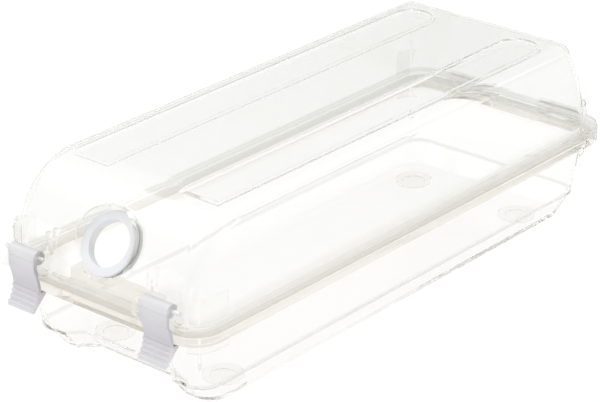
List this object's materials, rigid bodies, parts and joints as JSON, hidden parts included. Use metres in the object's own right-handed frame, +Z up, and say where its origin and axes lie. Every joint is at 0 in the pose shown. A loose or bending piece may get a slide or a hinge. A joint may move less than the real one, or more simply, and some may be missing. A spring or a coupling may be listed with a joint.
{
  "type": "clear hinged tackle box",
  "caption": "Clear hinged storage box with a domed lid, snap latches at one end, a ringed port in the lid's sloped end, stacking channels and round feet.",
  "frame": {"origin": "middle of the closed box's bounding box in plan, on the plane of the feet's undersides", "axes": "+X across the box to the right as seen from the latch end, +Y along the box from the latches to the hinges, +Z up"},
  "size_m": [0.142, 0.3769, 0.1094],
  "materials": {
    "clear_tub": "moulded transparent plastic, polished, with a faint warm tint",
    "clear_lid": "moulded transparent plastic, polished",
    "gasket": "soft ivory silicone, matt",
    "foot_pad": "pale translucent grey soft pads, matt",
    "grommet": "moulded pale lavender-grey plastic, smooth satin",
    "latch_plastic": "moulded pale lavender-grey plastic, satin",
    "pin_steel": "drawn wire, satin"
  },
  "bodies": {
    "tub": {"tub": "clear_tub", "rim_gasket": "gasket", "front_left_foot": "foot_pad", "front_right_foot": "foot_pad", "back_left_foot": "foot_pad", "back_right_foot": "foot_pad", "left_hinge_pin": "pin_steel", "right_hinge_pin": "pin_steel"},
    "lid": {"lid": "clear_lid", "ring_grommet": "grommet", "grommet_seal": "gasket", "grommet_retainer": "grommet", "left_latch_pin": "pin_steel", "right_latch_pin": "pin_steel"},
    "left_latch": {"left_latch": "latch_plastic"},
    "right_latch": {"right_latch": "latch_plastic"}
  },
  "joints": [
    {"name": "lid_hinge", "type": "hinge", "parent": "tub", "child": "lid", "pos_m": [0, 0.18535, 0.0511], "axis": [-1, 0, 0], "range_deg": [0, 105]},
    {"name": "left_latch_hinge", "type": "hinge", "parent": "lid", "child": "left_latch", "pos_m": [-0.0465, -0.1816, 0.0653], "axis": [-1, 0, 0], "range_deg": [0, 100]},
    {"name": "right_latch_hinge", "type": "hinge", "parent": "lid", "child": "right_latch", "pos_m": [0.0465, -0.1816, 0.0653], "axis": [-1, 0, 0], "range_deg": [0, 100]}
  ]
}
